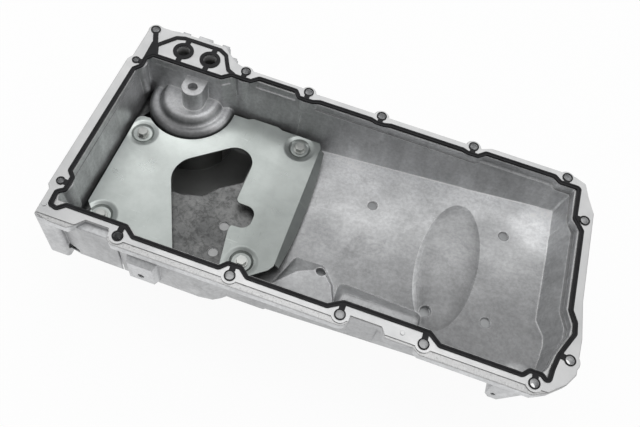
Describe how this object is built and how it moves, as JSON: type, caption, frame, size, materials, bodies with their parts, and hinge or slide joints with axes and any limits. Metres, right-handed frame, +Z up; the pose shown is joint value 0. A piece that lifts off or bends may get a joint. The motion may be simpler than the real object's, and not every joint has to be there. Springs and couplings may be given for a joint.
{
  "type": "engine oil pan",
  "caption": "Cast aluminium rear-sump engine oil pan with rail gasket, bolted sump baffle, oil filter head, ports and drain plug.",
  "frame": {"origin": "centre of the rectangle of four rail bolt holes, on the flange face", "axes": "+X to the front of the engine, +Z up to the block, +Y to the oil filter side"},
  "size_m": [0.5476, 0.288, 0.1287],
  "materials": {
    "cast_aluminium": "die-cast, lightly blasted, with machined faces",
    "carrier_aluminium": "thin rolled sheet",
    "black_rubber": "moulded, satin",
    "zinc_plated_steel": "pressed sheet, zinc plated",
    "bolt_steel": "zinc plated"
  },
  "bodies": {
    "pan": {"pan_casting": "cast_aluminium", "gasket_carrier": "carrier_aluminium", "gasket_bead": "black_rubber", "gasket_rivet_1": "carrier_aluminium", "gasket_rivet_2": "carrier_aluminium", "sump_baffle": "zinc_plated_steel", "drain_plug": "bolt_steel", "drain_plug_seal": "black_rubber", "filter_nipple": "bolt_steel", "bypass_valve_body": "bolt_steel", "bypass_valve_retainer": "bolt_steel", "bypass_valve_spring": "bolt_steel", "gallery_cover": "cast_aluminium", "gallery_cover_gasket": "black_rubber", "gallery_cover_bolt_1": "bolt_steel", "gallery_cover_bolt_2": "bolt_steel", "baffle_bolt_1": "bolt_steel", "baffle_bolt_2": "bolt_steel", "baffle_bolt_3": "bolt_steel", "baffle_bolt_4": "bolt_steel"},
    "bypass_disc": {"bypass_valve_plate": "bolt_steel"}
  },
  "joints": [
    {"name": "bypass_opening", "type": "slide", "parent": "pan", "child": "bypass_disc", "axis": [0, 0, -1], "range_m": [0, 0.0025], "stiffness_N_per_m": 400, "springref_m": -0.002, "deforming": ["bypass_valve_spring"]}
  ]
}
